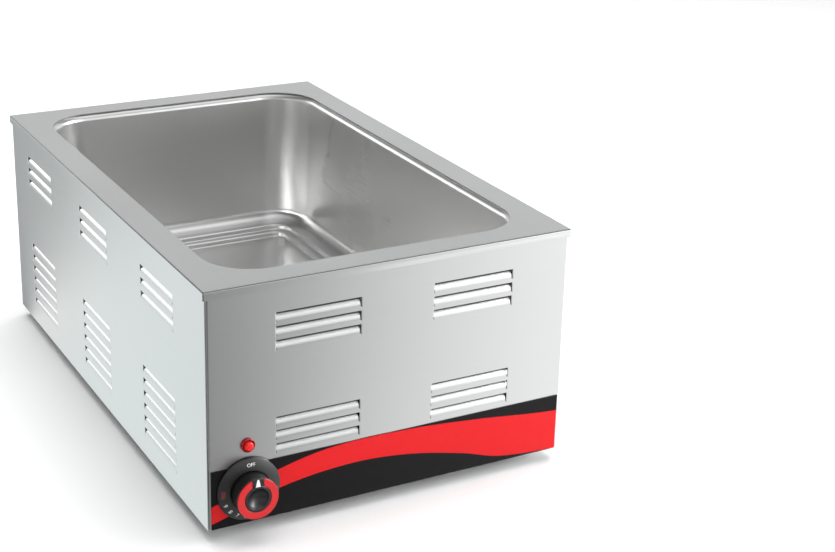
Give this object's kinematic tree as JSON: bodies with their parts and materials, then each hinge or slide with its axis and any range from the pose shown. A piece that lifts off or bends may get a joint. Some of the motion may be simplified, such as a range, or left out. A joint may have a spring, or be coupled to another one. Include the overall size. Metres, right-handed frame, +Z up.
{
  "type": "countertop steam table",
  "caption": "Countertop steam table: louvred steel cabinet round a deep rectangular water well, with a dial thermostat and a pilot light low on the front.",
  "frame": {"origin": "middle of the whole part's box in X and Y, on the surface it stands on", "axes": "+Z up; -Y is the front with the knob; +X is to the right, seen from the front"},
  "size_m": [0.368, 0.5998, 0.24],
  "materials": {
    "brushed_steel": "brushed, satin",
    "drawn_steel": "drawn, satin to bright",
    "plain_steel": "plain mill finish",
    "zinc": "zinc plated",
    "copper": "plain copper",
    "black_plastic": "satin black",
    "cream_plastic": "moulded, cream",
    "green_insulation": "green lead insulation",
    "black_insulation": "black lead insulation",
    "cord_rubber": "black sheath",
    "red_insert": "bright red",
    "white_insert": "white",
    "red_lens": "translucent red",
    "printed_film": "printed film, black with a red band",
    "rubber": "moulded black",
    "mineral_wool": "pressed fibre"
  },
  "bodies": {
    "cabinet": {"base_screw_1": "zinc", "base_screw_2": "zinc", "base_screw_3": "zinc", "base_screw_4": "zinc", "base_screw_5": "zinc", "base_screw_6": "zinc", "bottom_plate": "plain_steel", "bulb_clip": "zinc", "bushing_nut": "black_plastic", "clamp_nut_front": "zinc", "clamp_nut_rear": "zinc", "clamp_stud_front": "zinc", "clamp_stud_rear": "zinc", "dial_bezel": "black_plastic", "earth_nut": "zinc", "earth_stud": "zinc", "element_clamp_front": "zinc", "element_clamp_rear": "zinc", "foot_front_left": "rubber", "foot_front_right": "rubber", "foot_rear_left": "rubber", "foot_rear_right": "rubber", "foot_screw_front_left": "zinc", "foot_screw_front_right": "zinc", "foot_screw_rear_left": "zinc", "foot_screw_rear_right": "zinc", "front_decal": "printed_film", "heat_shield": "plain_steel", "heating_element": "plain_steel", "high_limit_switch": "black_plastic", "housing_front_right": "brushed_steel", "housing_rear_left": "brushed_steel", "insulation_pad": "mineral_wool", "lead_bushing": "black_plastic", "lead_earth": "green_insulation", "lead_element_left": "black_insulation", "lead_element_right": "black_insulation", "lead_limit": "black_insulation", "lead_pilot_left": "black_insulation", "lead_pilot_right": "black_insulation", "lead_thermostat": "black_insulation", "pilot_clip": "zinc", "pilot_lamp_body": "black_plastic", "pilot_lens": "red_lens", "shield_nut_front": "zinc", "shield_nut_rear": "zinc", "supply_loom": "cord_rubber", "terminal_block": "cream_plastic", "thermostat_body": "black_plastic", "thermostat_bulb": "copper", "thermostat_capillary": "copper", "thermostat_screw_left": "zinc", "thermostat_screw_right": "zinc", "top_deck": "brushed_steel", "water_well": "drawn_steel"},
    "knob": {"knob": "black_plastic", "knob_ring": "red_insert", "knob_pointer": "white_insert", "thermostat_spindle": "zinc"}
  },
  "joints": [
    {"name": "knob_turn", "type": "hinge", "parent": "cabinet", "child": "knob", "pos_m": [-0.1435, -0.2771, 0.047], "axis": [0, 1, 0], "range_deg": [0, 270]}
  ]
}
